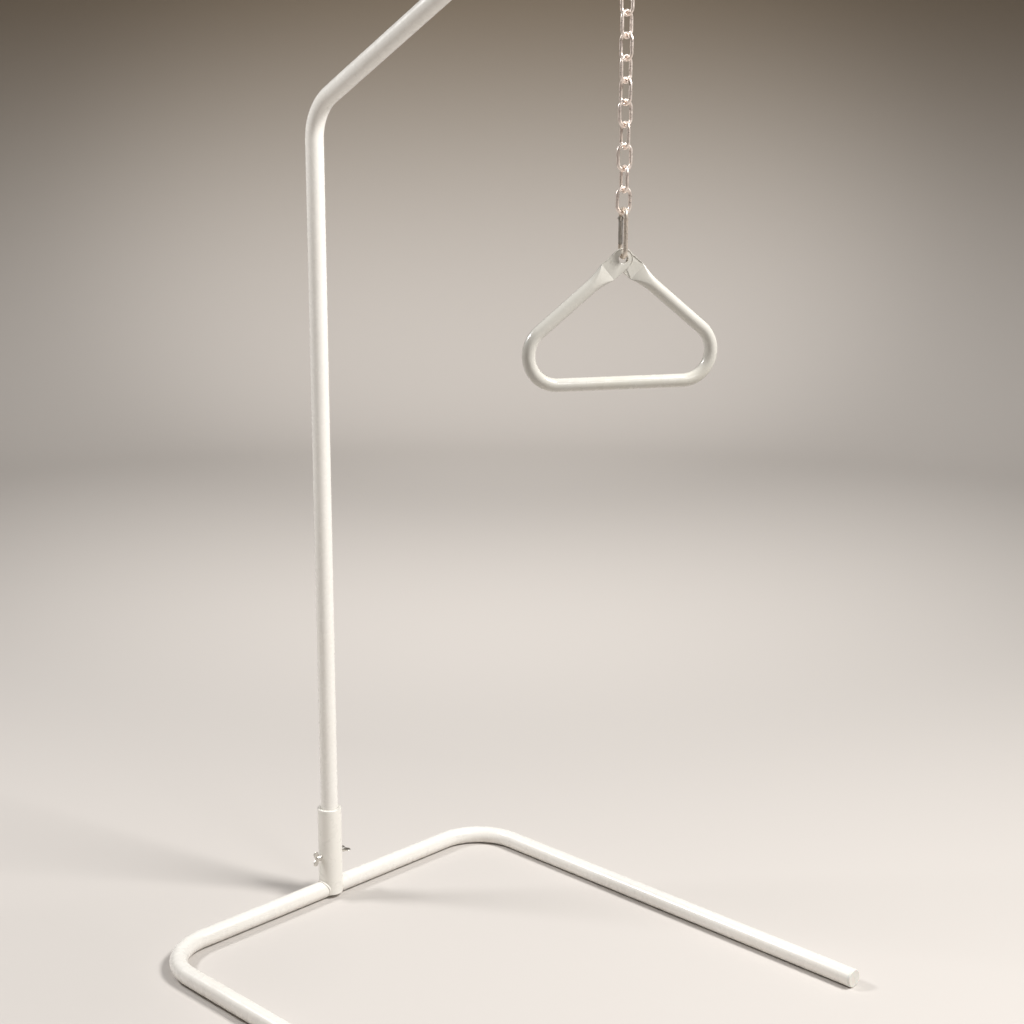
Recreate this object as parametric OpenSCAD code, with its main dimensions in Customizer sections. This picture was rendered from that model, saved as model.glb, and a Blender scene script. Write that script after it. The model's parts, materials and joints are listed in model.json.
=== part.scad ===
// Free-standing lifting pole: a U-shaped tube base, a mast with an oblique arm in a clamping
// socket, and a triangular grip handle hung on a chain. Millimetres, Z up, floor at Z = 0,
// X along the legs and the arm, Y along the crossbar. Every piece is drawn in place.

/* [Tube] */
// Outside diameter of the base and mast tube
tube_d = 32; // [28:0.5:38]
// Wall of the base and mast tube
tube_wall = 2; // [1.5:0.25:3]

/* [Base] */
// Distance between the two leg centre lines
base_w = 780; // [620:10:900]
// Crossbar centre line to the open end of each leg
leg_len = 900; // [700:10:1000]
// Centre line radius of the two floor corners
corner_r = 95; // [70:5:140]

/* [Socket] */
// Outside diameter of the mast socket
socket_d = 44.5; // [42:0.5:52]
// Height of the socket rim above the floor
socket_top = 175; // [140:5:260]
// Height of the two wing screws above the floor
screw_z = 82; // [66:1:110]
// Free space all round between the mast and the socket bore
socket_gap = 0.3; // [0.3:0.05:0.6]

/* [Mast and arm] */
// Height at which the mast and arm centre lines meet
mast_bend_z = 1439; // [1150:10:1600]
// Climb of the arm above the horizontal, degrees
arm_rise = 28.6; // [20:0.2:35]
// Centre line radius of the bend from mast to arm
bend_r = 85; // [70:5:120]
// Reach at which the arm turns level
arm_flat_x = 603; // [520:5:640]
// Centre line radius of the bend that levels the arm
arm_bend_r = 150; // [100:5:200]
// Reach of the hanging chain from the mast axis
chain_reach = 692; // [660:2:720]
// Reach of the arm end, plug included
arm_end_x = 740; // [730:5:800]

/* [Chain] */
// Wire diameter of the chain links
link_wire = 5; // [4:0.25:5.5]
// Outside width of a chain link
link_w = 25; // [22:0.5:28]
// Height that each link adds to the chain
link_pitch = 30.5; // [28:0.5:36]
// Turn of the lowest link against the top one, degrees
chain_twist = 24; // [0:1:28]

/* [Snap hooks] */
// Wire diameter of the snap hooks
hook_wire = 6.5; // [6:0.25:7]
// Distance between the top and bottom bar centres of a snap hook
hook_pitch = 68.5; // [64:0.5:76]
// Centre line radius of the snap hook ends
hook_r = 10; // [9.5:0.25:12]
// Wire diameter of the eye bolt ring
eye_wire = 7; // [6:0.5:8]
// Centre line radius of the eye bolt ring
eye_r = 12; // [10:0.5:14]

/* [Handle] */
// Tube diameter of the grip handle
grip_d = 20; // [18:0.5:24]
// Wall of the grip handle tube
grip_wall = 2; // [1.5:0.25:3]
// Handle width between the outermost centre lines
grip_w = 282; // [230:2:320]
// Eye centre to grip bar centre line
grip_drop = 181; // [150:1:200]
// Centre line radius of the two grip corners
grip_corner_r = 44; // [34:1:52]
// Turn of the grip bar about the vertical, degrees from the arm direction
grip_yaw = 60; // [0:1:90]

/* [Hidden] */
$fn = 64;
tube_r = tube_d / 2;
tube_id = tube_d - 2 * tube_wall;
gap = 0.3;
lap = 0.3;
hair = 0.05;
socket_id = tube_d + 2 * socket_gap;
socket_foot = 8;
rim_round = 1.2;
weld = 2.5;
cap_t = 4;
spigot_l = 22;

// wing screws: M8 in tapped socket walls, each pressing a loose thrust pad on the mast
screw_d = 8;
thread_clear = 0.08;
pad_d = 7;
pad_t = 2;
screw_tip_y = tube_r + gap + pad_t + gap;
neck_d = 11;
neck_y = socket_d / 2 + 2;
neck_l = 10;
wing_span = 29;
wing_l = 11;
wing_t = 3.2;

// mast and arm path
foot_t = 3;
mast_z0 = tube_d + gap + foot_t;
turn1 = 90 - arm_rise;
t1 = bend_r * tan(turn1 / 2);
t2 = arm_bend_r * tan(arm_rise / 2);
arm_z = mast_bend_z + arm_flat_x * tan(arm_rise);
arm_run = arm_flat_x / cos(arm_rise) - t1 - t2;

// eye bolt under the arm
bolt_d = 8;
saddle_d = 20;
saddle_t = 2.4;
collar_t = 1.7;
nut_af = 13;
nut_h = 8;
eye_z = arm_z - tube_r - saddle_t - collar_t - eye_wire / 2 - eye_r;

// hanging chain: the height of each bar that the next piece turns on
wire_r = link_wire / 2;
bow_r = (link_w - link_wire) / 2;
link_in = link_pitch + gap;
top_pin_z = eye_z - eye_r;
hook_z = top_pin_z + eye_wire / 2 + gap + hook_wire / 2 - hook_pitch;
link_1_end = hook_z + hook_wire / 2 + gap - link_in - wire_r;
low_pin_z = link_1_end - 11 * link_pitch;
low_hook_z = low_pin_z + wire_r + gap + hook_wire / 2 - hook_pitch;
low_hook_yaw = grip_yaw + 93;

// snap hook gate: a channel, open outwards, straddling the two tongues of the hook
gate_lo = 18;
gate_pin_z = hook_pitch - hook_r - 3.6;
tongue_t = 3;
slot_t = 3.6;
gate_back = 1.2;
pin_d = 2.5;
pin_clear = 0.05;
pin_head_d = 4;
pin_head_t = 0.8;

// handle: both ends of the tube are pressed flat and share one eye
tab_t = 4;
tab_w = 30;
eye_hole_d = 14;
tab_len = 30;
flare_len = 36;
tab_lift = hook_r - hook_wire / 2 - sqrt(pow(hook_r - hook_wire / 2, 2) - pow(tab_t, 2));
eye_hole_z = low_hook_z + hook_wire / 2 + tab_lift + gap - eye_hole_d / 2;
corner_x = grip_w / 2 - grip_corner_r;
corner_h = grip_drop - grip_corner_r;
side_slope = acos(grip_corner_r / norm([corner_x, corner_h])) - atan2(corner_x, corner_h);
side_len = norm([corner_x, corner_h]) * sin(side_slope + atan2(corner_x, corner_h));

coat = [0.93, 0.92, 0.89];
zinc = [0.72, 0.71, 0.68];
plastic = [0.9, 0.9, 0.87];

// ---- shared shapes ----

module wall_ring(d, wall) {
    difference() {
        circle(d = d);
        circle(d = d - 2 * wall);
    }
}

// straight tube rising from the origin
module tube(length, d, wall) {
    linear_extrude(length) wall_ring(d, wall);
}

// tube bend about Z, starting on the X axis
module elbow(r, turn, d, wall) {
    rotate_extrude(angle = turn) translate([r, 0]) wall_ring(d, wall);
}

// straight tube whose children carry on from its end; it laps a little over the bends
module tube_run(length, d, wall) {
    translate([0, 0, -lap]) tube(length + 2 * lap, d, wall);
    translate([0, 0, length]) children();
}

// bend from +Z towards +X whose children carry on from its end, a hair thinner than a run
module tube_bend(r, turn, d, wall) {
    translate([r, 0, 0]) {
        rotate([90, 0, 0]) rotate([0, 0, 180 - turn])
            elbow(r, turn, d - 2 * hair, wall - 2 * hair);
        rotate([0, turn, 0]) translate([-r, 0, 0]) children();
    }
}

// quarter or half ring of solid wire in the XZ plane, from angle a0
module wire_bow(r, d, a0, turn) {
    rotate([90, 0, 0]) rotate([0, 0, a0])
        rotate_extrude(angle = turn) translate([r, 0]) circle(d = d);
}

// tube plug along Z: spigot below the origin, rounded flange above it
module plug(flange_d, spigot_d, flange_h, length) {
    round_r = min(2.5, flange_h - 0.5);
    rotate_extrude() {
        translate([0, -length]) square([spigot_d / 2, length]);
        square([flange_d / 2, flange_h - round_r]);
        square([flange_d / 2 - round_r, flange_h]);
        translate([flange_d / 2 - round_r, flange_h - round_r]) intersection() {
            circle(r = round_r);
            square(round_r);
        }
    }
}

// ---- base and socket ----

module base_frame() {
    run = base_w - 2 * corner_r;
    color(coat) translate([0, 0, tube_r]) {
        translate([0, -run / 2, 0]) rotate([-90, 0, 0]) tube(run, tube_d, tube_wall);
        for (side = [-1, 1]) {
            translate([corner_r, side * run / 2, 0]) rotate([0, 0, side > 0 ? 90 : 180])
                elbow(corner_r, 90, tube_d, tube_wall);
            translate([corner_r, side * base_w / 2, 0]) rotate([0, 90, 0])
                tube(leg_len - cap_t - corner_r, tube_d, tube_wall);
        }
    }
}

module leg_cap(side) {
    color(plastic) translate([leg_len - cap_t, side * base_w / 2, tube_r]) rotate([0, 90, 0])
        plug(tube_d, tube_id, cap_t, spigot_l);
}

module crossbar_core(d) {
    translate([0, -socket_d, tube_r]) rotate([-90, 0, 0]) cylinder(d = d, h = 2 * socket_d);
}

module mast_socket() {
    color(coat) difference() {
        rotate_extrude() difference() {
            translate([socket_id / 2, socket_foot])
                square([(socket_d - socket_id) / 2, socket_top - socket_foot]);
            translate([socket_d / 2 - rim_round, socket_top - rim_round]) difference() {
                square(2 * rim_round);
                circle(r = rim_round);
            }
        }
        crossbar_core(tube_d);
        translate([0, -socket_d, screw_z]) rotate([-90, 0, 0])
            cylinder(d = screw_d + 2 * thread_clear, h = 2 * socket_d);
    }
}

// bead of weld metal where the crossbar enters one side of the socket
module socket_weld(side) {
    color(coat) difference() {
        intersection() {
            translate([0, 0, socket_foot])
                cylinder(d = socket_d + 2 * weld, h = 2 * tube_d - socket_foot);
            crossbar_core(tube_d + 2 * weld);
            translate([-socket_d, side > 0 ? 0 : -socket_d, 0])
                cube([2 * socket_d, socket_d, 2 * tube_d]);
        }
        crossbar_core(tube_d);
        cylinder(d = socket_d, h = 3 * tube_d);
    }
}

// ---- mast clamp ----

module on_side(side) {
    translate([0, 0, screw_z]) rotate([side > 0 ? -90 : 90, 0, 0]) children();
}

module clamp_pad(side) {
    color(plastic) on_side(side) translate([0, 0, tube_r + gap]) cylinder(d = pad_d, h = pad_t);
}

// wing screw drawn along its own axis; the wings lie across the given direction
module wing_screw(side, wing_turn) {
    color(zinc) on_side(side) {
        translate([0, 0, screw_tip_y]) cylinder(d = screw_d, h = neck_y - screw_tip_y + 1);
        translate([0, 0, neck_y]) cylinder(d = neck_d, h = neck_l);
        translate([0, 0, neck_y + neck_l / 2]) rotate([0, 0, wing_turn]) rotate([90, 0, 0])
            translate([0, 0, -wing_t / 2]) linear_extrude(wing_t) wing_outline();
    }
}

module wing_outline() {
    for (side = [-1, 1]) {
        translate([side * (wing_span - wing_l) / 2, wing_l / 2]) circle(d = wing_l);
        polygon([[0, 0], [side * (wing_span - wing_l) / 2, 0],
                 [side * (wing_span - wing_l) / 2, wing_l], [0, neck_l / 2]]);
    }
}

// ---- mast and arm ----

// level end of the arm, drawn along Z, drilled for the eye bolt
module arm_end() {
    length = arm_end_x - cap_t - arm_flat_x - t2;
    difference() {
        translate([0, 0, -lap]) tube(length + lap, tube_d, tube_wall);
        translate([-tube_d, 0, chain_reach - arm_flat_x - t2]) rotate([0, 90, 0])
            cylinder(d = bolt_d, h = 2 * tube_d);
    }
}

module mast_tube() {
    color(coat) translate([0, 0, mast_z0 + lap])
        tube_run(mast_bend_z - t1 - mast_z0 - lap, tube_d, tube_wall)
            tube_bend(bend_r, turn1, tube_d, tube_wall)
                tube_run(arm_run, tube_d, tube_wall)
                    tube_bend(arm_bend_r, arm_rise, tube_d, tube_wall) arm_end();
}

module mast_foot_plug() {
    color(plastic) translate([0, 0, mast_z0]) mirror([0, 0, 1])
        plug(tube_d - 0.4, tube_id, foot_t, spigot_l);
}

module arm_end_plug() {
    color(plastic) translate([arm_end_x - cap_t, 0, arm_z]) rotate([0, 90, 0])
        plug(tube_d, tube_id, cap_t, spigot_l);
}

// washer shaped to the round tube, above or below the arm
module arm_saddle(side) {
    reach = tube_r + saddle_t;
    color(zinc) translate([chain_reach, 0, arm_z]) mirror([0, 0, side < 0 ? 1 : 0])
        difference() {
            translate([0, 0, tube_r - 4]) cylinder(d = saddle_d, h = reach - tube_r + 4);
            translate([-saddle_d, 0, 0]) rotate([0, 90, 0])
                cylinder(d = tube_d, h = 2 * saddle_d);
            translate([0, 0, -1]) cylinder(d = bolt_d, h = tube_d);
        }
}

module eye_bolt() {
    collar_z = arm_z - tube_r - saddle_t - collar_t;
    color(zinc) translate([chain_reach, 0, 0]) {
        translate([0, 0, eye_z]) rotate([90, 0, 0])
            rotate_extrude() translate([eye_r, 0]) circle(d = eye_wire);
        translate([0, 0, eye_z + eye_r]) cylinder(d = bolt_d, h = collar_z - eye_z - eye_r + 1);
        translate([0, 0, collar_z]) cylinder(d = nut_af, h = collar_t);
        translate([0, 0, collar_z]) cylinder(d = bolt_d, h = tube_d + 2 * saddle_t + 8);
    }
}

// domed nut on top of the arm
module eye_bolt_nut() {
    seat = arm_z + tube_r + saddle_t;
    color(zinc) translate([chain_reach, 0, seat]) difference() {
        union() {
            linear_extrude(nut_h - 2) circle(d = nut_af / cos(30), $fn = 6);
            translate([0, 0, nut_h - 2]) intersection() {
                sphere(d = nut_af - 0.6);
                cylinder(d = nut_af, h = nut_af);
            }
        }
        translate([0, 0, -1]) cylinder(d = bolt_d, h = collar_t + 6.3 + 1);
    }
}

// ---- snap hooks ----

// hook wire in its own XZ plane, bottom bar centred on the origin, opening on +X
module hook_body() {
    difference() {
        union() {
            translate([0, 0, hook_r]) wire_bow(hook_r, hook_wire, 180, 180);
            translate([-hook_r, 0, hook_r]) cylinder(d = hook_wire, h = hook_pitch - 2 * hook_r);
            translate([0, 0, hook_pitch - hook_r]) wire_bow(hook_r, hook_wire, 0, 180);
            translate([hook_r, 0, hook_r]) cylinder(d = hook_wire, h = gate_lo - 0.4 - hook_r);
            hook_tongue(hook_r, gate_lo + 6);
            translate([hook_r, 0, gate_pin_z]) rotate([90, 0, 0])
                cylinder(r = hook_wire / 2 - gate_back - gap + 0.55, h = tongue_t, center = true);
            hook_tongue(gate_pin_z, hook_pitch - hook_r);
        }
        translate([hook_r, 0, gate_pin_z]) rotate([90, 0, 0])
            cylinder(d = pin_d, h = 2 * hook_wire, center = true);
    }
}

// flat tongue that stands inside the gate channel between two heights
module hook_tongue(z0, z1) {
    inner = hook_r - hook_wire / 2 + gate_back + gap;
    translate([inner, -tongue_t / 2, z0])
        cube([hook_r + hook_wire / 2 - 0.8 - inner, tongue_t, z1 - z0 + 0.05]);
}

module hook_gate() {
    difference() {
        union() {
            translate([hook_r, 0, gate_lo]) cylinder(d = hook_wire, h = gate_pin_z - gate_lo);
            intersection() {
                translate([hook_r, 0, gate_lo]) cylinder(d = hook_wire, h = hook_pitch);
                translate([hook_r, 0, gate_pin_z]) rotate([90, 0, 0])
                    cylinder(d = hook_wire, h = 2 * hook_wire, center = true);
            }
        }
        translate([hook_r - hook_wire / 2 + gate_back, -slot_t / 2, 0])
            cube([2 * hook_wire, slot_t, hook_pitch]);
        translate([0, -slot_t / 2, gate_pin_z - hook_wire / 2])
            cube([2 * hook_r, slot_t, hook_wire * 2]);
        translate([hook_r, 0, gate_pin_z]) rotate([90, 0, 0])
            cylinder(d = pin_d + 2 * pin_clear, h = 2 * hook_wire, center = true);
    }
}

module hook_pin() {
    head_y = hook_wire / 2 + gap;
    translate([hook_r, 0, gate_pin_z]) rotate([90, 0, 0]) {
        cylinder(d = pin_d, h = 2 * head_y, center = true);
        for (side = [0, 1]) mirror([0, 0, side]) translate([0, 0, head_y])
            cylinder(d1 = pin_head_d, d2 = pin_head_d - 1, h = pin_head_t);
    }
}

module at_top_hook() {
    color(zinc) translate([chain_reach, 0, hook_z]) rotate([0, 0, 90]) children();
}

module at_lower_hook() {
    color(zinc) translate([chain_reach, 0, low_hook_z]) rotate([0, 0, low_hook_yaw]) children();
}

// ---- chain ----

function twist(i) = -chain_twist * min(1, max(0, (i - 6) / 4));

// link number i, counted from the top; odd links start in the plane of the arm
module chain_link(i) {
    end_z = link_1_end - (i - 1) * link_pitch;
    straight = link_in + link_wire - 2 * bow_r;
    color(zinc) translate([chain_reach, 0, end_z + bow_r])
        rotate([0, 0, (i % 2 == 0 ? 90 : 0) + twist(i)]) {
            wire_bow(bow_r, link_wire, 180, 180);
            translate([0, 0, straight]) wire_bow(bow_r, link_wire, 0, 180);
            for (side = [-1, 1]) translate([side * bow_r, 0, 0])
                cylinder(d = link_wire, h = straight);
        }
}

// ---- handle ----

// tube end pressed flat: a flare, then a rounded tab that ends round the eye; the tab of
// the far side is a little narrower and sinks slightly into the near one
module handle_end(far) {
    width = tab_w - (far ? 2 * lap : 0);
    sink = far ? lap : 0;
    hull() {
        translate([0, 0, -0.1]) cylinder(d = grip_d - 0.5, h = 0.2, $fn = 48);
        translate([-width / 2, -tab_t, flare_len - 0.1]) cube([width, tab_t, 0.2]);
    }
    translate([-width / 2, -tab_t, flare_len]) cube([width, tab_t + sink, tab_len]);
    translate([0, sink, flare_len + tab_len]) rotate([90, 0, 0])
        cylinder(d = width, h = tab_t + sink);
}

// side of the handle, from the end of the grip bar round the corner to the eye
module handle_side(far) {
    side_run = side_len - tab_len - flare_len;
    translate([corner_x, 0, -grip_drop]) rotate([0, 90, 0]) rotate([0, 0, 180])
        tube_bend(grip_corner_r, 180 - side_slope, grip_d, grip_wall)
            tube_run(side_run, grip_d, grip_wall) handle_end(far);
}

module handle() {
    color(coat) translate([chain_reach, 0, eye_hole_z]) rotate([0, 0, grip_yaw]) difference() {
        union() {
            translate([-corner_x, 0, -grip_drop]) rotate([0, 90, 0])
                tube_run(2 * corner_x, grip_d, grip_wall);
            handle_side(true);
            rotate([0, 0, 180]) handle_side(false);
        }
        rotate([90, 0, 0]) cylinder(d = eye_hole_d, h = 4 * tab_t, center = true);
    }
}

// ---- nodes ----

base_frame();
leg_cap(-1);  // leg_cap_left
leg_cap(1);  // leg_cap_right
mast_socket();
socket_weld(-1);  // socket_weld_left
socket_weld(1);  // socket_weld_right
clamp_pad(-1);  // clamp_pad_left
clamp_pad(1);  // clamp_pad_right
wing_screw(-1, 90);  // wing_screw_left
wing_screw(1, 0);  // wing_screw_right
mast_tube();
mast_foot_plug();
arm_end_plug();
eye_bolt();
arm_saddle(-1);  // arm_saddle_lower
arm_saddle(1);  // arm_saddle_upper
eye_bolt_nut();
at_top_hook() hook_body();  // top_hook
at_top_hook() hook_gate();  // top_hook_gate
at_top_hook() hook_pin();  // top_hook_pin
chain_link(1);  // chain_link_01
chain_link(2);  // chain_link_02
chain_link(3);  // chain_link_03
chain_link(4);  // chain_link_04
chain_link(5);  // chain_link_05
chain_link(6);  // chain_link_06
chain_link(7);  // chain_link_07
chain_link(8);  // chain_link_08
chain_link(9);  // chain_link_09
chain_link(10);  // chain_link_10
chain_link(11);  // chain_link_11
chain_link(12);  // chain_link_12
at_lower_hook() hook_body();  // lower_hook
at_lower_hook() hook_gate();  // lower_hook_gate
at_lower_hook() hook_pin();  // lower_hook_pin
handle();
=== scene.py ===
"""Looks of a free-standing lifting pole: painted tubes, a triangular grip handle and a chain.

Every new piece is a numpy surface in metres, at its place in the shared frame. A tube or wire
is a rounded section carried along a path of straight runs and arcs; a cap, socket or screw is
a profile turned about an axis.
"""
import json
import math

import bpy
import mathutils
import numpy as np
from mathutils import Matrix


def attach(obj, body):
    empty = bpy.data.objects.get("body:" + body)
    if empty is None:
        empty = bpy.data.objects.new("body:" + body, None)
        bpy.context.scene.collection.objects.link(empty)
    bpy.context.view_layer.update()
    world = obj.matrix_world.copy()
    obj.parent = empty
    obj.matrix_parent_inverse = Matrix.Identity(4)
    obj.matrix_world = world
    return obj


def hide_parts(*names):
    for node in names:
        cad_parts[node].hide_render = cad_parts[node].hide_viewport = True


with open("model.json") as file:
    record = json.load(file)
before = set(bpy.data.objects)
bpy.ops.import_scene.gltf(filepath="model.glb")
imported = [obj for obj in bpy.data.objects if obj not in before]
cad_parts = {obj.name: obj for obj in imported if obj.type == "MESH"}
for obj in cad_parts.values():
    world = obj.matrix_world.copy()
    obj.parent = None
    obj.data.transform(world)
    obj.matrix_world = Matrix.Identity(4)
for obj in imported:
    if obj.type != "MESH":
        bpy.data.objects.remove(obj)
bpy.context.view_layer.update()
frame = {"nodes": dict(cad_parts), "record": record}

# sizes of the pieces, in metres
TUBE_R = 0.016
BASE_W, LEG_L, CORNER_R = 0.780, 0.900, 0.095
CAP_T, SPIGOT = 0.004, 0.022
SOCKET_R, SOCKET_FOOT, SOCKET_TOP, SOCKET_BORE = 0.02225, 0.008, 0.175, 0.0163
SCREW_Z = 0.082
MAST_FOOT, VERTEX_Z, ARM_RISE, BEND_R = 0.0353, 1.439, math.radians(28.6), 0.085
ARM_FLAT, ARM_BEND_R, ARM_END = 0.603, 0.150, 0.740
REACH = 0.692
ARM_Z = VERTEX_Z + ARM_FLAT * math.tan(ARM_RISE)
WIRE, BOW_R, LINK_PITCH, LINK_IN = 0.005, 0.010, 0.0305, 0.0308
HOOK_WIRE, HOOK_R, HOOK_PITCH = 0.0065, 0.010, 0.0685
GATE_LOW = 0.018
EYE_R, EYE_WIRE = 0.012, 0.007
SADDLE_T, COLLAR_T = 0.0024, 0.0017
CLEAR = 0.0003
STUDIO_X = 0.35
GRIP_R, GRIP_HALF, GRIP_DROP, GRIP_CORNER = 0.010, 0.141, 0.181, 0.044
GRIP_YAW = math.radians(60)
TAB_T, TAB_W, TAB_L, FLARE_L, EYE_HOLE = 0.004, 0.030, 0.030, 0.036, 0.007
UP = np.array((0.0, 0.0, 1.0))


# ---- surfaces ----

def heading(angle):
    """Level unit vector at an angle from +X, in radians."""
    return np.array((math.cos(angle), math.sin(angle), 0.0))


def path(start, ahead, side, legs):
    """Centre line of straight runs and arcs in the plane of two unit vectors, ahead and side.

    A leg is (length, steps) or (radius, turn, steps): on an arc the direction turns towards
    side by turn radians, and the points lie on a circle of that radius. Gives the points,
    the in-plane normals and the length so far.
    """
    at, angle, total = np.array(start, float), 0.0, 0.0
    points, normals, lengths = [at[None]], [side[None]], [np.zeros(1)]
    for leg in legs:
        along = math.cos(angle) * ahead + math.sin(angle) * side
        across = math.cos(angle) * side - math.sin(angle) * ahead
        t = np.linspace(0, 1, leg[-1] + 1)[1:, None]
        if len(leg) == 2:
            points.append(at + t * leg[0] * along)
            normals.append(np.repeat(across[None], len(t), 0))
            lengths.append(total + t[:, 0] * leg[0])
            total += leg[0]
        else:
            sign, turn = math.copysign(1, leg[1]), t * leg[1]
            centre = at + sign * leg[0] * across
            points.append(centre + leg[0] * (np.sin(abs(turn)) * along
                                             - sign * np.cos(turn) * across))
            normals.append(np.cos(turn) * across - np.sin(turn) * along)
            lengths.append(total + abs(turn[:, 0]) * leg[0])
            total += leg[0] * abs(leg[1])
            angle += leg[1]
        at = points[-1][-1]
    return np.concatenate(points), np.concatenate(normals), np.concatenate(lengths)


def rounded(a, b, f, per_corner=10):
    """Rounded rectangles with half sides a and b and corner radius f, arrays of one value a
    step: four quarter arcs whose points stand half a step from the corners' ends, so that
    with a = b = f it is an even circle."""
    q = (np.arange(per_corner) + 0.5) / per_corner * math.pi / 2
    u = np.concatenate([q + k * math.pi / 2 for k in range(4)])
    sx, sy = np.sign(np.cos(u)), np.sign(np.sin(u))
    a, b, f = (np.atleast_1d(v)[:, None] for v in (a, b, f))
    return np.stack([sx * (a - f) + f * np.cos(u), sy * (b - f) + f * np.sin(u)], -1)


def sweep(points, normals, binormal, sections):
    """Grid of points: each section's first number along the normal, its second along the
    binormal."""
    return (points[:, None] + sections[..., :1] * normals[:, None]
            + sections[..., 1:] * binormal)


def turned(profile, at, axis, side, steps=64):
    """Profile of (radius, height) turned about an axis through a point."""
    u = np.linspace(0, 2 * math.pi, steps, endpoint=False)
    ring = np.cos(u)[:, None] * side + np.sin(u)[:, None] * np.cross(axis, side)
    p = np.array(profile, float)
    return at + p[:, :1, None] * ring[None] + p[:, 1, None, None] * axis


def grid(points, close_rows=False, caps=True, lengths=None, girth=None):
    """Faces between neighbours of a grid whose columns close into a ring; open ends get a
    fan to their mean point. Gives points, triangles or quads, and their UV in metres round
    the ring and along the rows."""
    rows, cols = points.shape[:2]
    i = np.arange(rows if close_rows else rows - 1)[:, None]
    j = np.arange(cols)[None]
    i2, j2 = (i + 1) % rows, (j + 1) % cols
    quads = np.stack([i * cols + j, i * cols + j2, i2 * cols + j2, i2 * cols + j], -1)
    quads = quads.reshape(-1, 4)
    if lengths is None:
        lengths = np.arange(rows + 1) * 0.001
    step = (girth or 0.001 * cols) / cols
    rise = np.append(lengths, lengths[-1] + (lengths[-1] - lengths[-2]))
    shape = (len(i), cols)
    uv = np.stack([
        np.stack([np.broadcast_to(x, shape) * step, np.broadcast_to(rise[y], shape)], -1)
        for x, y in ((j, i), (j + 1, i), (j + 1, i + 1), (j, i + 1))], 2).reshape(-1, 4, 2)
    flat = points.reshape(-1, 3)
    faces, uvs = [quads], [uv]
    if caps and not close_rows:
        ends = points[[0, -1]].mean(1)
        n, k = len(flat), np.arange(cols)
        flat = np.concatenate([flat, ends])
        last = (rows - 1) * cols
        for tri, y in ((np.stack([np.full(cols, n), (k + 1) % cols, k], -1), 0),
                       (np.stack([np.full(cols, n + 1), last + k, last + (k + 1) % cols], -1),
                        -1)):
            faces.append(tri)
            uvs.append(np.stack([np.full((cols, 3), 0.0) + k[:, None] * step,
                                 np.full((cols, 3), rise[y])], -1))
    return flat, faces, uvs


def piece(name, grids, material, sharp=40):
    """One mesh object from several grids, turned outwards where a grid's volume comes out
    negative, shaded smooth with edges sharper than an angle kept."""
    verts, loops, starts, uvs, base, at = [], [], [], [], 0, 0
    for flat, faces, face_uvs in grids:
        fans = [(f[:, 0], f[:, k], f[:, k + 1]) for f in faces for k in range(1, f.shape[1] - 1)]
        volume = sum(np.einsum("ij,ij->", flat[a], np.cross(flat[b], flat[c]))
                     for a, b, c in fans)
        turn = slice(None, None, -1 if volume < 0 else 1)
        for f, uv in zip(faces, face_uvs):
            loops.append((f[:, turn] + base).ravel())
            uvs.append(uv[:, turn].reshape(-1, 2))
            starts.append(at + np.arange(len(f)) * f.shape[1])
            at += f.size
        verts.append(flat)
        base += len(flat)
    verts, loops, starts = (np.concatenate(v) for v in (verts, loops, starts))
    mesh = bpy.data.meshes.new(name)
    mesh.vertices.add(len(verts))
    mesh.vertices.foreach_set("co", verts.astype(np.float32).ravel())
    mesh.loops.add(len(loops))
    mesh.loops.foreach_set("vertex_index", loops.astype(np.int32))
    mesh.polygons.add(len(starts))
    mesh.polygons.foreach_set("loop_start", starts.astype(np.int32))
    mesh.uv_layers.new(name="along").data.foreach_set(
        "uv", np.concatenate(uvs).astype(np.float32).ravel())
    mesh.polygons.foreach_set("use_smooth", np.ones(len(starts), bool))
    mesh.update(calc_edges=True)
    mesh.validate()
    mesh.set_sharp_from_angle(angle=math.radians(sharp))
    obj = bpy.data.objects.new(name, mesh)
    bpy.context.scene.collection.objects.link(obj)
    mesh.materials.append(material)
    return obj


def stands_for(obj, node):
    """The piece rides on the node's body and is shown in its place."""
    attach(obj, node_body[node])
    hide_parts(node)


# ---- materials ----

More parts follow.
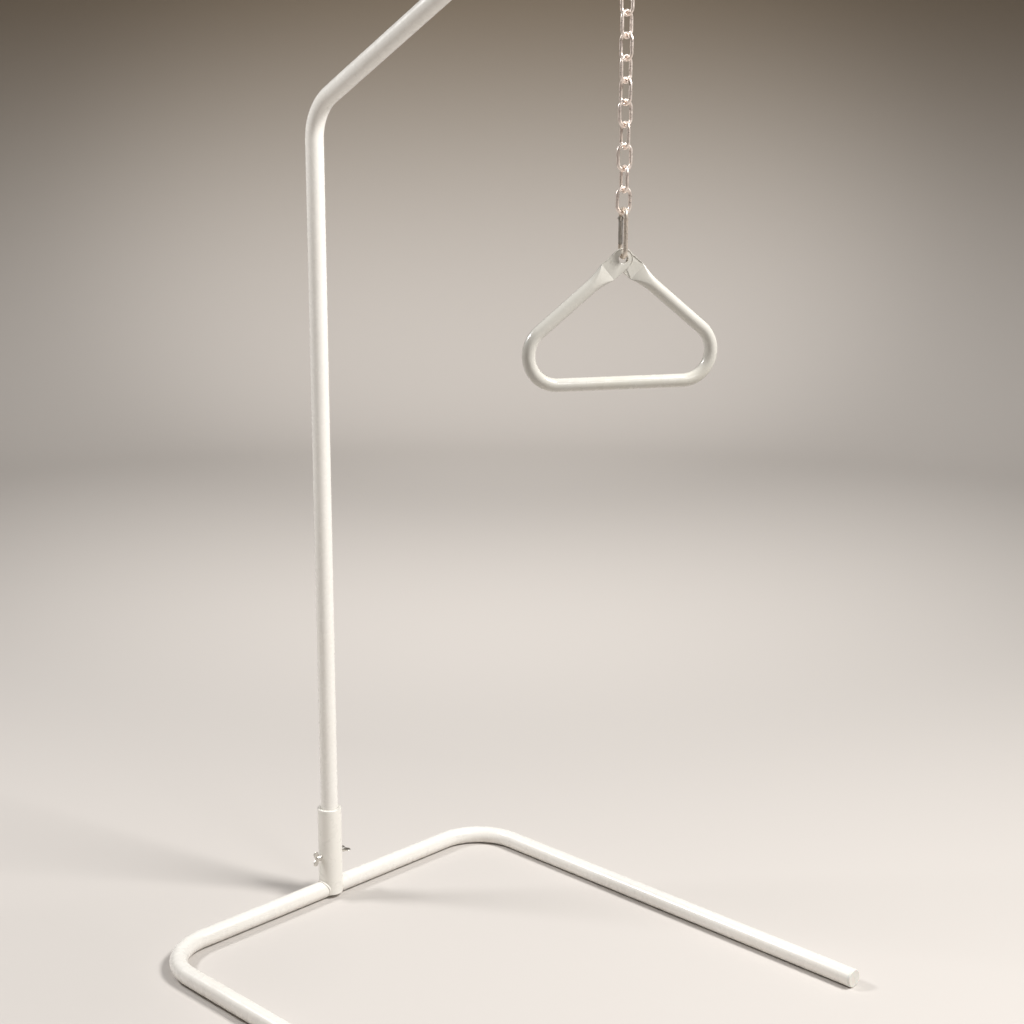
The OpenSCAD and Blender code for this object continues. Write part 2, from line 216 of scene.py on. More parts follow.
class Finish:
    """A material under construction: the shader, and short ways to add its nodes."""

    def __init__(self, name, colour, roughness, metallic=0.0, coat=0.0, coat_roughness=0.1,
                 specular=0.5, subsurface=0.0):
        self.material = bpy.data.materials.new(name)
        self.material.use_nodes = True
        self.tree = self.material.node_tree
        self.shader = self.tree.nodes["Principled BSDF"]
        for socket, value in (("Base Color", (*colour, 1)), ("Roughness", roughness),
                              ("Metallic", metallic), ("Coat Weight", coat),
                              ("Coat Roughness", coat_roughness),
                              ("Specular IOR Level", specular),
                              ("Subsurface Weight", subsurface),
                              ("Subsurface Scale", 0.002)):
            self.shader.inputs[socket].default_value = value
        self.place = self.node("ShaderNodeTexCoord").outputs["Object"]

    def node(self, kind, **settings):
        made = self.tree.nodes.new(kind)
        for key, value in settings.items():
            setattr(made, key, value)
        return made

    def link(self, a, b):
        self.tree.links.new(a, b)

    def stretched(self, scale, source=None):
        """The place, or a UV map, stretched by a scale on each axis."""
        made = self.node("ShaderNodeMapping")
        made.inputs["Scale"].default_value = scale
        self.link(source or self.place, made.inputs["Vector"])
        return made.outputs["Vector"]

    def wire_place(self, round_scale, along_scale):
        """Metres round and along the wire from its UV map, stretched."""
        uv = self.node("ShaderNodeUVMap", uv_map="along").outputs["UV"]
        return self.stretched((round_scale, along_scale, 1), uv)

    def noise(self, scale, detail=3.0, source=None, rough=0.5):
        made = self.node("ShaderNodeTexNoise")
        made.inputs["Scale"].default_value = scale
        made.inputs["Detail"].default_value = detail
        made.inputs["Roughness"].default_value = rough
        self.link(source or self.place, made.inputs["Vector"])
        return made.outputs["Fac"]

    def cells(self, scale, source=None):
        made = self.node("ShaderNodeTexVoronoi")
        made.inputs["Scale"].default_value = scale
        self.link(source or self.place, made.inputs["Vector"])
        return made.outputs["Distance"]

    def ranged(self, value, low, high, to_low=0.0, to_high=1.0):
        """A value from low to high mapped to another range, smoothly and clamped."""
        made = self.node("ShaderNodeMapRange", interpolation_type="SMOOTHSTEP")
        for key, v in (("From Min", low), ("From Max", high), ("To Min", to_low),
                       ("To Max", to_high)):
            made.inputs[key].default_value = v
        self.link(value, made.inputs["Value"])
        return made.outputs["Result"]

    def math(self, operation, a, b):
        made = self.node("ShaderNodeMath", operation=operation)
        for k, v in enumerate((a, b)):
            if isinstance(v, (int, float)):
                made.inputs[k].default_value = v
            else:
                self.link(v, made.inputs[k])
        return made.outputs[0]

    def height(self):
        """Height above the floor."""
        made = self.node("ShaderNodeSeparateXYZ")
        self.link(self.place, made.inputs[0])
        return made.outputs["Z"]

    def tint(self, share, colour):
        """Lays a colour over the base colour where share is high."""
        mix = self.node("ShaderNodeMix", data_type="RGBA")
        under = self.shader.inputs["Base Color"]
        if under.is_linked:
            self.link(under.links[0].from_socket, mix.inputs[6])
        else:
            mix.inputs[6].default_value = under.default_value
        mix.inputs[7].default_value = (*colour, 1)
        self.link(share, mix.inputs[0])
        self.link(mix.outputs[2], under)

    def rough(self, value):
        self.link(value, self.shader.inputs["Roughness"])

    def bump(self, height, depth, distance=0.001):
        """Adds a relief of that depth in metres on top of any relief so far."""
        made = self.node("ShaderNodeBump")
        made.inputs["Strength"].default_value = depth / distance
        made.inputs["Distance"].default_value = distance
        self.link(height, made.inputs["Height"])
        under = self.shader.inputs["Normal"]
        if under.is_linked:
            self.link(under.links[0].from_socket, made.inputs["Normal"])
        self.link(made.outputs[0], under)


def powder_coat(name, colour, roughness=0.26):
    """Glossy powder coat: orange peel, slow changes of gloss, and a faint uneven tone."""
    f = Finish(name, colour, roughness, coat=0.35, coat_roughness=0.12, specular=0.5)
    f.tint(f.ranged(f.noise(7, 4), 0.35, 0.75, 0.0, 0.35),
           tuple(c * s for c, s in zip(colour, (0.95, 0.93, 0.89))))
    f.rough(f.ranged(f.noise(55, 4), 0.3, 0.7, roughness - 0.05, roughness + 0.09))
    f.bump(f.noise(420, 2), 0.000035)
    f.bump(f.noise(90, 1), 0.00004)
    return f


def base_coat():
    """The floor frame's coat: darker low down near the floor, partly dust and partly painted
    shade under the tubes, and grey scuffs where shoes and wheels touch.
    """
    f = powder_coat("base_coat_white", (0.87, 0.845, 0.80))
    # painted shade with dust: the tubes darken in streaks towards the floor
    low = f.ranged(f.height(), 0.001, 0.022, 1.0, 0.0)
    dust_and_shade_streaks = f.ranged(f.noise(38, 6, f.stretched((1, 1, 3)), 0.65), 0.5, 0.72)
    f.tint(f.math("MULTIPLY", low, f.math("MULTIPLY", dust_and_shade_streaks, 0.2)), (0.46, 0.44, 0.40))
    marks = f.ranged(f.noise(14, 8, f.stretched((1, 1, 9)), 0.72), 0.66, 0.72)
    f.tint(f.math("MULTIPLY", marks, 0.12), (0.50, 0.48, 0.44))
    return f.material


def mast_coat():
    """The mast's coat: rubbed rings just above the socket, where it is pushed in and turned."""
    f = powder_coat("mast_coat_white", (0.88, 0.855, 0.81), 0.24)
    near = f.ranged(f.height(), 0.176, 0.215, 1.0, 0.0)
    rings = f.ranged(f.noise(60, 5, f.stretched((1, 1, 14)), 0.6), 0.52, 0.68)
    f.tint(f.math("MULTIPLY", near, f.math("MULTIPLY", rings, 0.4)), (0.46, 0.44, 0.40))
    specks = f.ranged(f.cells(36), 0.015, 0.03, 1.0, 0.0)
    f.tint(f.math("MULTIPLY", specks, 0.2), (0.55, 0.52, 0.46))
    return f.material


def socket_coat():
    """The socket's coat: thicker and softer over the saw marks and the weld beads."""
    f = powder_coat("socket_coat_white", (0.87, 0.845, 0.79), 0.29)
    low = f.ranged(f.height(), 0.034, 0.052, 1.0, 0.0)
    f.bump(f.math("MULTIPLY", low, f.noise(260, 5, None, 0.6)), 0.00022)
    f.tint(f.math("MULTIPLY", low, f.ranged(f.noise(120, 4), 0.5, 0.75, 0.0, 0.3)),
           (0.60, 0.56, 0.49))
    edge = f.ranged(f.height(), 0.1728, 0.1745)
    f.tint(f.math("MULTIPLY", edge, f.ranged(f.noise(300, 3), 0.5, 0.65, 0.0, 0.5)),
           (0.47, 0.45, 0.42))
    return f.material


def handle_coat():
    """The handle's coat: warmer, and polished by hands along the level bar."""
    f = powder_coat("handle_coat_ivory", (0.62, 0.60, 0.55), 0.24)
    bar = f.ranged(f.height(), 1.06, 1.085, 1.0, 0.0)
    worn = f.math("MULTIPLY", bar, f.ranged(f.noise(26, 5), 0.4, 0.7))
    f.tint(f.math("MULTIPLY", worn, 0.35), (0.60, 0.575, 0.49))
    eye = f.ranged(f.height(), 1.214, 1.226)
    f.tint(f.math("MULTIPLY", eye, f.ranged(f.noise(150, 5, None, 0.65), 0.52, 0.68, 0.0, 0.5)),
           (0.40, 0.37, 0.32))
    return f.material


def cap_plastic():
    """Moulded polyethylene: waxy, with flow lines and a fine grain."""
    f = Finish("cap_polyethylene", (0.78, 0.76, 0.71), 0.4, subsurface=0.12)
    f.rough(f.ranged(f.noise(130, 4), 0.3, 0.7, 0.32, 0.5))
    f.tint(f.ranged(f.noise(45, 3, f.stretched((1, 2, 1))), 0.45, 0.75, 0.0, 0.35),
           (0.68, 0.65, 0.58))
    f.bump(f.noise(900, 2), 0.00003)
    return f.material


def pad_plastic():
    """Natural nylon, slightly yellowed, turned on a lathe."""
    f = Finish("pad_nylon", (0.66, 0.63, 0.53), 0.5, subsurface=0.2)
    f.rough(f.ranged(f.noise(300, 3), 0.3, 0.7, 0.4, 0.62))
    f.bump(f.noise(800, 3), 0.00004)
    return f.material


def plated(name, colour, roughness, grain, blotch=0.3, metallic=1.0):
    """Zinc or nickel plating: cloudy tone, small dull spots, and a relief of the metal
    under it."""
    f = Finish(name, colour, roughness, metallic=metallic, specular=0.5)
    f.tint(f.ranged(f.noise(160, 5, None, 0.6), 0.4, 0.7, 0.0, blotch),
           tuple(c * s for c, s in zip(colour, (0.78, 0.72, 0.64))))
    f.rough(f.ranged(f.noise(350, 4), 0.3, 0.7, roughness - 0.07, roughness + 0.13))
    f.bump(f.noise(grain, 4), 0.00005)
    return f


def screw_zinc():
    """Die-cast wing screws, zinc plated: sandy cast skin."""
    return plated("screw_zinc_cast", (0.70, 0.68, 0.64), 0.36, 700).material


def fitting_zinc():
    """Turned and pressed fittings, bright zinc."""
    f = plated("fitting_zinc_bright", (0.72, 0.70, 0.66), 0.27, 500)
    f.bump(f.noise(250, 3, f.stretched((1, 1, 12))), 0.00003)
    return f.material


def wire_steel(name, colour, roughness):
    """Plated drawn wire: fine lines along the wire, and painted shade as dark brown patches
    scattered at random over the wire.
    """
    f = plated(name, colour, roughness, 900, 0.25, 0.72)
    f.bump(f.noise(1.0, 3, f.wire_place(2600, 60)), 0.00002)
    # painted shade: dark brown patches at random over the wire, standing in for the links' shade
    painted_shade_patches = f.ranged(f.noise(330, 5, None, 0.7), 0.54, 0.72, 0.0, 0.6)
    f.tint(painted_shade_patches, (0.22, 0.15, 0.09))
    return f.material


def gate_steel():
    """Pressed sheet gates and their rivets, zinc plated, with shear lines at the edges."""
    f = plated("gate_zinc_sheet", (0.66, 0.64, 0.60), 0.33, 600, 0.4)
    f.bump(f.noise(400, 3, f.stretched((6, 6, 1))), 0.00003)
    return f.material


# ---- painted tubes ----

def tube_sections(count, ovality=0.0):
    """Circles of the tube's radius, pressed in by a share in the plane of the bends."""
    share = 1 - np.broadcast_to(ovality, (count,))
    circle = rounded(np.full(count, TUBE_R), np.full(count, TUBE_R), np.full(count, TUBE_R))
    circle[..., 0] *= share[:, None]
    return circle


def painted_tube(name, start, ahead, side, legs, material):
    """The tube along a path: where the path bends, its section is pressed 1.5% in the plane
    of the bend, as a mandrel leaves it."""
    points, normals, lengths = path(start, ahead, side, legs)
    bent = np.gradient(np.unwrap(np.arctan2(normals @ side, normals @ ahead)))
    bent = np.minimum(np.abs(bent) * 40, 1)
    sections = tube_sections(len(points), 0.015 * bent)
    return piece(name, [grid(sweep(points, normals, np.cross(ahead, side), sections),
                             lengths=lengths, girth=2 * math.pi * TUBE_R)], material)


def base_tube(material):
    """The U-shaped floor tube: leg, corner, crossbar, corner, leg."""
    run, quarter = LEG_L - CAP_T - CORNER_R, (CORNER_R, -math.pi / 2, 28)
    obj = painted_tube(
        "base_tube", (LEG_L - CAP_T, -BASE_W / 2, TUBE_R), -heading(0), -heading(math.pi / 2),
        [(run, 40), (CORNER_R, -math.pi / 2, 28), (BASE_W - 2 * CORNER_R, 30), quarter,
         (run, 40)], material)
    stands_for(obj, "base_frame")


def mast_and_arm(material):
    """The mast, its bend into the climbing arm, and the bend that levels the arm."""
    turn = math.pi / 2 - ARM_RISE
    cut, level = BEND_R * math.tan(turn / 2), ARM_BEND_R * math.tan(ARM_RISE / 2)
    obj = painted_tube(
        "mast_and_arm", (0, 0, MAST_FOOT), UP, heading(0),
        [(VERTEX_Z - MAST_FOOT - cut, 60), (BEND_R, turn, 30),
         (ARM_FLAT / math.cos(ARM_RISE) - cut - level, 30), (ARM_BEND_R, ARM_RISE, 20),
         (ARM_END - CAP_T - ARM_FLAT - level, 12)], material)
    stands_for(obj, "mast_tube")


def end_cap(name, node, at, material):
    """A cap's profile turned about the tube: rounded rim, shallow dished face with a gate
    mark in the middle, and a ribbed spigot inside the tube."""
    r = np.linspace(0, 1, 12)
    face = [(x * 0.0135, CAP_T - 0.0005 + 0.0004 * x ** 4 - 0.0003 * (x < 0.1)) for x in r]
    u = np.linspace(math.pi / 2, 0, 9)
    rim = [(TUBE_R - 0.0022 + 0.0022 * math.cos(a), CAP_T - 0.0022 + 0.0022 * math.sin(a))
           for a in u]
    z = np.linspace(0, -SPIGOT, 40)
    ribs = [(0.0135 + 0.0003 * abs(math.sin(a * 700)), a) for a in z]
    grid_points = turned(face + rim + [(TUBE_R, 0), (0.0139, 0)] + ribs, at, heading(0),
                         heading(math.pi / 2))
    obj = piece(name, [grid(grid_points)], material, 50)
    stands_for(obj, node)


def socket_tube(material):
    """The socket's wall turned about the mast: rounded rim, bore, and a soft sawn foot."""
    u = np.linspace(0, math.pi / 2, 8)
    r = 0.0012
    outer = [(SOCKET_R, z) for z in np.linspace(SOCKET_FOOT, SOCKET_TOP - r, 60)]
    rim = [(SOCKET_R - r + r * math.cos(a), SOCKET_TOP - r + r * math.sin(a)) for a in u]
    bore = [(SOCKET_BORE + 0.0006, SOCKET_TOP), (SOCKET_BORE, SOCKET_TOP - 0.0006),
            (SOCKET_BORE, 0.034)]
    obj = piece("socket_tube", [grid(turned(outer + rim + bore, np.zeros(3), UP, heading(0),
                                            96))], material)
    stands_for(obj, "mast_socket")


def weld_bead(name, node, side, material):
    """A bead along the line where the crossbar enters the socket: at each angle round the
    crossbar the centre lies on both cylinders, and the bead's radius ripples every 2 mm and
    fades out at its two ends."""
    a = np.radians(np.linspace(-26, 206, 150))
    x, z = TUBE_R * np.cos(a), TUBE_R * (1 + np.sin(a))
    centre = np.stack([x, side * np.sqrt(SOCKET_R ** 2 - x ** 2), z], -1)
    along = np.gradient(centre, axis=0)
    along /= np.linalg.norm(along, axis=1)[:, None]
    out = np.stack([np.cos(a), np.zeros_like(a), np.sin(a)], -1)
    out -= (out * along).sum(1)[:, None] * along
    out /= np.linalg.norm(out, axis=1)[:, None]
    s = np.append(0, np.cumsum(np.linalg.norm(np.diff(centre, axis=0), axis=1)))
    fade = np.sqrt(np.clip(np.sin(np.linspace(0, math.pi, len(a))), 0.05, 1)) ** 0.6
    size = 0.0023 * fade * (1 + 0.07 * np.sin(s / 0.0021 * 2 * math.pi)
                            + 0.05 * np.sin(s / 0.0094 * 2 * math.pi + side))
    u = np.linspace(0, 2 * math.pi, 20, endpoint=False)
    ring = (np.cos(u)[None, :, None] * out[:, None]
            + np.sin(u)[None, :, None] * np.cross(along, out)[:, None])
    obj = piece(name, [grid(centre[:, None] + size[:, None, None] * ring, lengths=s,
                            girth=0.014)], material)
    stands_for(obj, node)


# ---- clamp ----

def wing_plate(at, axis, across):
    """The butterfly plate: its outline shrinks from the rim to the middle of each face, and
    its half thickness follows the eighth power of that share, so the rim is round."""
    q = np.radians(np.linspace(-90, 150, 22))
    lobe = np.stack([0.009 + 0.0055 * np.cos(q), 0.0055 + 0.0055 * np.sin(q)], -1)
    mirror = lobe[::-1] * (-1, 1)
    outline = np.concatenate([lobe, [(0.0022, 0.0062), (-0.0022, 0.0062)], mirror,
                              [(-0.003, 0.0), (0.003, 0.0)]])
    share = np.sin(np.linspace(0, math.pi, 25))[1:-1]
    face = np.sign(np.linspace(1, -1, 25))[1:-1]
    middle = np.array((0.0, 0.004))
    flat = middle + (outline - middle)[None] * share[:, None, None]
    half = 0.0016 * face * np.sqrt(np.clip(1 - share ** 8, 0, 1))
    thick = np.cross(axis, across)
    return (at + flat[..., :1] * across + flat[..., 1:] * axis
            + half[:, None, None] * thick)


def wing_screw(name, node, side, wing_turn, material):
    """A threaded shank, a chamfered neck and the wings. The thread's radius rises and falls
    once in each pitch of height plus one turn."""
    axis = side * heading(math.pi / 2)
    at = SCREW_Z * UP
    across = math.cos(wing_turn) * heading(0) + math.sin(wing_turn) * UP
    z = np.linspace(0.0186, 0.0252, 90)
    u = np.linspace(0, 2 * math.pi, 40, endpoint=False)
    wave = np.abs(((z[:, None] / 0.00125 - u[None] / (2 * math.pi)) % 1) * 2 - 1)
    radius = 0.004 - 0.0006 * wave
    ring = np.cos(u)[:, None] * across + np.sin(u)[:, None] * np.cross(axis, across)
    shank = at + radius[..., None] * ring[None] + z[:, None, None] * axis
    n = 0.02425
    neck = [(0.0047, n), (0.0055, n + 0.0008), (0.0055, n + 0.0072), (0.0048, n + 0.0092),
            (0.0030, n + 0.0100)]
    wings = wing_plate(at + (n + 0.005) * axis, axis, across)
    obj = piece(name, [grid(shank), grid(turned(neck, at, axis, across, 40)), grid(wings)],
                material, 35)
    stands_for(obj, node)


# ---- chain and hooks ----

def link_yaw(i):
    """Angle of link i's plane from +X: every other link stands across, and the chain's
    twist comes in from link 7 to link 10."""
    return math.radians((90 if i % 2 == 0 else 0) - 24 * min(1, max(0, (i - 6) / 4)))


def chain_link(i, low_z, material):
    """Wire along a closed path of two runs and two half circles, with the slight swelling
    of the butt weld in the middle of one run."""
    side = heading(link_yaw(i))
    straight = LINK_IN + WIRE - 2 * BOW_R
    start = np.array((REACH, 0, low_z + BOW_R)) + BOW_R * side
    points, normals, lengths = path(start, UP, -side, [
        (straight, 16), (BOW_R, math.pi, 24), (straight, 16), (BOW_R, math.pi, 24)])
    points, normals, lengths = points[:-1], normals[:-1], lengths[:-1]
    weld = np.exp(-((lengths - straight / 2) / 0.0011) ** 2)
    r = WIRE / 2 * (1 + 0.07 * weld)
    sections = rounded(r, r, r, 6)
    obj = piece(f"chain_wire_{i:02d}", [
        grid(sweep(points, normals, np.cross(UP, -side), sections), close_rows=True,
             lengths=lengths, girth=math.pi * WIRE)], material)
    stands_for(obj, f"chain_link_{i:02d}")


def eased(x, low, high):
    """Smooth step of x between two values."""
    t = np.clip((x - low) / (high - low), 0, 1)
    return t * t * (3 - 2 * t)


def hook_wire_piece(name, node, low_z, yaw, material):
    """Hook wire from its nose round the lower bow, up the spine and round the upper bow:
    a round section that is pressed to a flat tongue at both ends, inside the gate."""
    side = heading(yaw)
    start = np.array((REACH, 0, low_z)) + HOOK_R * side + (GATE_LOW + 0.006) * UP
    nose, upper = GATE_LOW + 0.006 - HOOK_R, 0.0055
    points, normals, lengths = path(start, -UP, side, [
        (nose, 20), (HOOK_R, -math.pi, 30), (HOOK_PITCH - 2 * HOOK_R, 24),
        (HOOK_R, -math.pi, 30), (upper, 10)])
    total = lengths[-1]
    flat = 1 - eased(lengths, 0.0062, 0.0068) * eased(total - lengths, 0.0052, 0.006)
    r = HOOK_WIRE / 2
    inner = 0.0009 * flat
    a, b = r - 0.0004 * flat - inner, r + (0.0015 - r) * flat
    sections = rounded(a, b, np.minimum(np.minimum(a, b), r + (0.0004 - r) * flat), 7)
    sections[..., 0] += inner[:, None]
    obj = piece(name, [grid(sweep(points, normals, np.cross(-UP, side), sections),
                            lengths=lengths, girth=math.pi * HOOK_WIRE)], material)
    stands_for(obj, node)


def eye_bolt(material):
    """A forged ring on a shank: a torus, a blended neck, a pressed collar and a thread."""
    eye_z = ARM_Z - TUBE_R - SADDLE_T - COLLAR_T - EYE_WIRE / 2 - EYE_R
    centre = np.array((REACH, 0, eye_z))
    side = heading(0)
    points, normals, lengths = path(centre + EYE_R * side, UP, -side,
                                    [(EYE_R, 2 * math.pi, 72)])
    r = np.full(72, EYE_WIRE / 2)
    ring = grid(sweep(points[:-1], normals[:-1], np.cross(UP, -side), rounded(r, r, r, 6)),
                close_rows=True, lengths=lengths[:-1], girth=math.pi * EYE_WIRE)
    top = ARM_Z + TUBE_R + SADDLE_T + 0.0075
    c = ARM_Z - TUBE_R - SADDLE_T - COLLAR_T
    z = np.linspace(c + COLLAR_T, top, 120)
    stem = [(0.0052, eye_z + EYE_R), (0.0045, eye_z + EYE_R + 0.0028), (0.0041, c),
            (0.0063, c), (0.0065, c + 0.0004), (0.0065, c + 0.0013), (0.0062, c + COLLAR_T)]
    thread = [(0.0039 - 0.0003 * abs((v / 0.00125 % 1) * 2 - 1), v) for v in z]
    body = grid(turned(stem + thread, np.array((REACH, 0, 0)), UP, side, 40))
    obj = piece("eye_bolt_forged", [ring, body], material, 35)
    stands_for(obj, "eye_bolt")


# ---- handle ----

def tab_ring(eye, slope_dir, normal, near):
    """A tab's end round its eye: at each angle round the eye a thin section runs from the
    hole to the outline, which is a half circle at the tip and straight lines to the flare;
    the outline's edges are rounded, except where the tab goes on."""
    across = np.cross(normal, slope_dir)
    half_w = TAB_W / 2 - (0.0 if near else CLEAR)
    corner = math.atan2(half_w, TAB_L)
    a = np.concatenate([np.linspace(-corner, corner, 24), [corner + 1e-5],
                        np.linspace(corner + 0.02, 2 * math.pi - corner - 0.02, 90),
                        [2 * math.pi - corner - 1e-5]])
    joined = np.arange(len(a)) < 24
    with np.errstate(divide="ignore"):
        straight = np.where(np.cos(a) > 0, half_w / np.maximum(abs(np.sin(a)), 1e-6), half_w)
    outer = np.where(joined, TAB_L / np.cos(a), straight)
    f = np.where(joined, 0.00002, 0.0009)
    t = TAB_T / 2
    q = np.linspace(0, math.pi / 2, 6)
    shrink = f[:, None] * (1 - np.sin(q))
    lift = f[:, None] * (1 - np.cos(q))
    i = 0.0006
    ones = np.ones((len(a), 1))
    r = np.concatenate([outer[:, None] - lift, outer[:, None] - lift[:, ::-1],
                        ones * (EYE_HOLE + i * (1 - np.cos(q[::-1]))),
                        ones * (EYE_HOLE + i * (1 - np.cos(q)))], 1)
    h = np.concatenate([-(t - shrink), (t - shrink)[:, ::-1],
                        ones * (t - i * (1 - np.sin(q[::-1]))),
                        ones * -(t - i * (1 - np.sin(q)))], 1)
    direction = np.cos(a)[:, None] * slope_dir + np.sin(a)[:, None] * across
    points = eye + r[..., None] * direction[:, None] + h[..., None] * normal
    return grid(points, close_rows=True)


def grip_handle(eye_z, material):
    """The handle's tube along its path from one tab to the other. From each tab it flares
    to the round tube in 36 mm: the thickness opens at once from a crease and settles
    smoothly, while the width draws in so that the girth stays the same."""
    side, eye = heading(GRIP_YAW), np.array((REACH, 0, eye_z))
    normal = np.cross(side, UP)
    cx, ch = GRIP_HALF - GRIP_CORNER, GRIP_DROP - GRIP_CORNER
    slope = math.acos(GRIP_CORNER / math.hypot(cx, ch)) - math.atan2(cx, ch)
    run = math.hypot(cx, ch) * math.sin(slope + math.atan2(cx, ch))
    down = -math.cos(math.pi / 2 - slope) * UP
    out_left = down - math.sin(math.pi / 2 - slope) * side
    out_right = down + math.sin(math.pi / 2 - slope) * side
    start = eye + TAB_L * out_left
    in_side = np.cross(out_left, normal)
    legs = [(FLARE_L, 30), (run - TAB_L - FLARE_L, 14), (GRIP_CORNER, math.pi - slope, 40),
            (2 * cx, 30), (GRIP_CORNER, math.pi - slope, 40), (run - TAB_L - FLARE_L, 14),
            (FLARE_L, 30)]
    sign = 1 if np.dot(in_side, side) > 0 else -1
    points, normals, lengths = path(start, out_left, in_side * sign, legs)
    total = lengths[-1]
    open_up = [np.clip(x / FLARE_L, 0, 1) for x in (lengths, total - lengths)]
    near, far = (1 - (1 - x) ** 2.1 for x in open_up)
    round_share = np.minimum(near, far)
    b = TAB_T / 2 + (GRIP_R - TAB_T / 2) * round_share
    end_half = np.where(lengths < total / 2, TAB_W / 2, TAB_W / 2 - CLEAR)
    a = end_half + (GRIP_R - end_half) * round_share ** 1.15
    f = 0.0009 + (GRIP_R - 0.0009) * round_share
    offset = TAB_T / 2 * ((1 - near) - (1 - far))
    sections = rounded(a, b, np.minimum(f, np.minimum(a, b)), 10)
    points = points + offset[:, None] * normal
    tube = grid(sweep(points, normals, np.cross(out_left, in_side * sign), sections),
                lengths=lengths, girth=2 * math.pi * GRIP_R)
    rings = [tab_ring(eye + TAB_T / 2 * normal, out_left, normal, True),
             tab_ring(eye - TAB_T / 2 * normal, out_right, normal, False)]
    obj = piece("grip_handle", [tube, *rings], material, 32)
    stands_for(obj, "handle")


# ---- studio ----

def backdrop():
    """Seamless studio bowl: a floor disc whose edge turns up into a wall, a profile turned
    about the upright through the middle of the object."""
    flat, r, height = 4.6, 2.2, 5.0
    u = np.linspace(0, math.pi / 2, 24)
    profile = [(x, 0.0) for x in np.linspace(0.02, flat, 24)]
    profile += [(flat + r * math.sin(a), r - r * math.cos(a)) for a in u[1:]]
    profile += [(flat + r, z) for z in np.linspace(r, height, 8)[1:]]
    points = turned(profile, np.array((STUDIO_X, 0, 0)), UP, heading(0), 128)
    flat_points, faces, uvs = grid(points, caps=False)
    centre = len(flat_points)
    flat_points = np.concatenate([flat_points, [(STUDIO_X, 0, 0)]])
    k = np.arange(128)
    faces.append(np.stack([np.full(128, centre), k, (k + 1) % 128], -1))
    uvs.append(np.zeros((128, 3, 2)))
    f = Finish("studio_paper", (0.60, 0.565, 0.535), 0.85, specular=0.15)
    # painted shade: the paper darkens with height, standing in for light falling off up the wall
    f.tint(f.ranged(f.height(), 0.0, 2.6, 0.0, 1.0), (0.17, 0.13, 0.085))
    f.bump(f.noise(60, 3), 0.0001)
    obj = piece("studio_backdrop", [(flat_points, faces, uvs)], f.material)
    if obj.data.polygons[-1].normal.z < 0:
        obj.data.flip_normals()


def place_light(name, light, at, aim):
    """Puts a light in the scene, shining from one point towards another."""
    obj = bpy.data.objects.new(name, light)
    obj.location = at
    away = np.array(at, float) - np.array(aim, float)
    obj.rotation_euler = mathutils.Vector(away).to_track_quat("Z", "Y").to_euler()
    bpy.context.scene.collection.objects.link(obj)


def area_light(name, at, aim, size, power, colour=(1, 1, 1)):
    """A round soft box of that diameter."""
    light = bpy.data.lights.new(name, "AREA")
    light.shape, light.size, light.energy, light.color = "DISK", size, power, colour
    place_light(name, light, at, aim)


def spot_light(name, at, aim, power, cone):
    """A cone of that many degrees whose light fades to its rim."""
    light = bpy.data.lights.new(name, "SPOT")
    light.energy, light.spot_size, light.spot_blend = power, math.radians(cone), 1.0
    light.shadow_soft_size, light.color = 0.3, (1, 0.98, 0.95)
    place_light(name, light, at, aim)


def camera():
    """The camera at the viewing angle: azimuth 44.12, looking 13.08 degrees down, turned
    0.2 degrees about its own axis."""
    a, p, roll = (math.radians(v) for v in (44.12, 13.08, 0.20))
    right = heading(a)
    back = np.array((math.sin(a) * math.cos(p), -math.cos(a) * math.cos(p), math.sin(p)))
    up = np.cross(back, right)
    x = math.cos(roll) * right + math.sin(roll) * up
    y = math.cos(roll) * up - math.sin(roll) * right
    data = bpy.data.cameras.new("camera")
    data.sensor_width, data.lens = 36.0, 59.84
    data.clip_start, data.clip_end = 0.05, 60
    obj = bpy.data.objects.new("camera", data)
    obj.matrix_world = mathutils.Matrix(
        [[*(v[k] for v in (x, y, back)), at] for k, at in
         enumerate((2.3045, -1.8908, 1.4284))] + [[0, 0, 0, 1]])
    bpy.context.scene.collection.objects.link(obj)
    bpy.context.scene.camera = obj
    return right, back


node_body = {n: body for body, nodes in frame["record"]["behaviour"]["bodies"].items()
             for n in nodes}

bpy.context.scene.view_settings.view_transform = "Standard"
right, back = camera()
behind = np.cross(UP, right)
backdrop()
middle = np.array((STUDIO_X, 0.0, 0.9))
area_light("key", middle + 2.3 * right + 0.7 * back + 2.5 * UP, middle, 1.2, 188,
           (1, 0.99, 0.97))
area_light("front", middle + 1.5 * right + 2.4 * back + 1.0 * UP, middle, 0.8, 11)
area_light("rim", middle - 2.4 * right - 0.4 * back + 1.9 * UP, middle, 0.7, 62)
spot_light("wash", middle - 1.2 * behind + 3.4 * UP, middle + 4.8 * behind - 0.7 * UP, 880, 58)
spot_light("wall", middle + 0.4 * behind + 2.2 * UP, middle + 6.8 * behind - 0.3 * UP, 500, 46)
world = bpy.data.worlds.new("studio_air")
world.use_nodes = True
air = world.node_tree.nodes["Background"]
air.inputs[0].default_value = (1, 0.98, 0.95, 1)
air.inputs[1].default_value = 0.24
bpy.context.scene.world = world

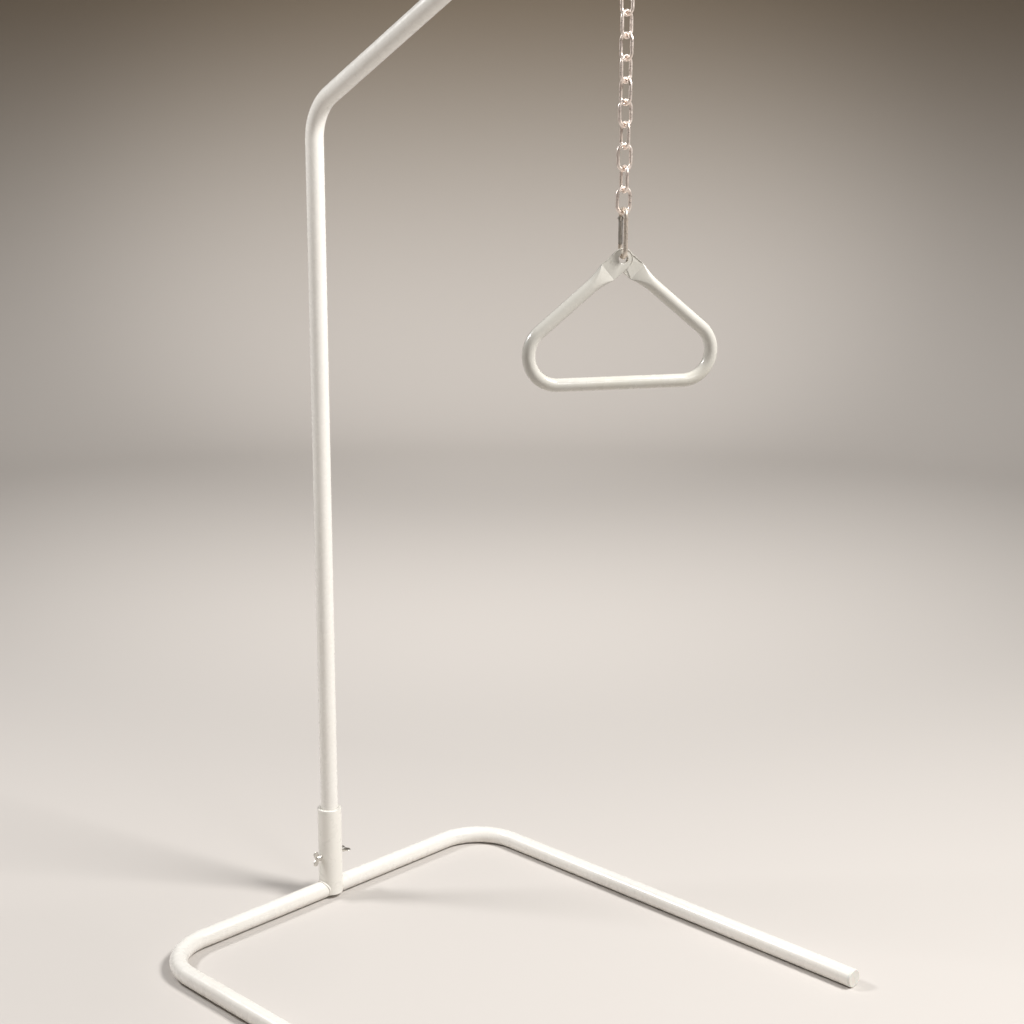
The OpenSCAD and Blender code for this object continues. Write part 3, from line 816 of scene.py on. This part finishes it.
coats = {"base": base_coat(), "mast": mast_coat(), "socket": socket_coat(),
         "handle": handle_coat()}
plastic, nylon = cap_plastic(), pad_plastic()
screw, fitting, gate = screw_zinc(), fitting_zinc(), gate_steel()
# The chain's warm pink tint is a painted reflection of warm surroundings on its nickel plating
chain = wire_steel("chain_nickel_wire", (0.95, 0.84, 0.77), 0.33)
hook = wire_steel("hook_zinc_wire", (0.80, 0.71, 0.62), 0.33)

base_tube(coats["base"])
mast_and_arm(coats["mast"])
for side, name in ((-1, "left"), (1, "right")):
    end_cap(f"leg_end_{name}", f"leg_cap_{name}",
            np.array((LEG_L - CAP_T, side * BASE_W / 2, TUBE_R)), plastic)
    weld_bead(f"weld_bead_{name}", f"socket_weld_{name}", side, coats["socket"])
    wing_screw(f"wing_screw_cast_{name}", f"wing_screw_{name}", side,
               math.pi / 2 if side < 0 else 0.0, screw)
end_cap("arm_end", "arm_end_plug", np.array((ARM_END - CAP_T, 0, ARM_Z)), plastic)
socket_tube(coats["socket"])
eye_bolt(fitting)

eye_low = ARM_Z - TUBE_R - SADDLE_T - COLLAR_T - EYE_WIRE / 2 - 2 * EYE_R
top_hook_z = eye_low + EYE_WIRE / 2 + CLEAR + HOOK_WIRE / 2 - HOOK_PITCH
first_link_z = top_hook_z + HOOK_WIRE / 2 + CLEAR - LINK_IN - WIRE / 2
low_hook_z = (first_link_z - 11 * LINK_PITCH + WIRE / 2 + CLEAR + HOOK_WIRE / 2 - HOOK_PITCH)
hook_wire_piece("top_hook_wire", "top_hook", top_hook_z, math.pi / 2, hook)
hook_wire_piece("lower_hook_wire", "lower_hook", low_hook_z, GRIP_YAW + math.radians(93), hook)
for i in range(1, 13):
    chain_link(i, first_link_z - (i - 1) * LINK_PITCH, chain)
bite = HOOK_R - HOOK_WIRE / 2
tab_lift = bite - math.sqrt(bite ** 2 - TAB_T ** 2)
grip_handle(low_hook_z + HOOK_WIRE / 2 + tab_lift + CLEAR - EYE_HOLE, coats["handle"])

for node, material in (("clamp_pad_left", nylon), ("clamp_pad_right", nylon),
                       ("mast_foot_plug", plastic), ("arm_saddle_lower", fitting),
                       ("arm_saddle_upper", fitting), ("eye_bolt_nut", fitting),
                       ("top_hook_gate", gate), ("top_hook_pin", gate),
                       ("lower_hook_gate", gate), ("lower_hook_pin", gate)):
    for material_slot in frame["nodes"][node].material_slots:
        material_slot.material = material
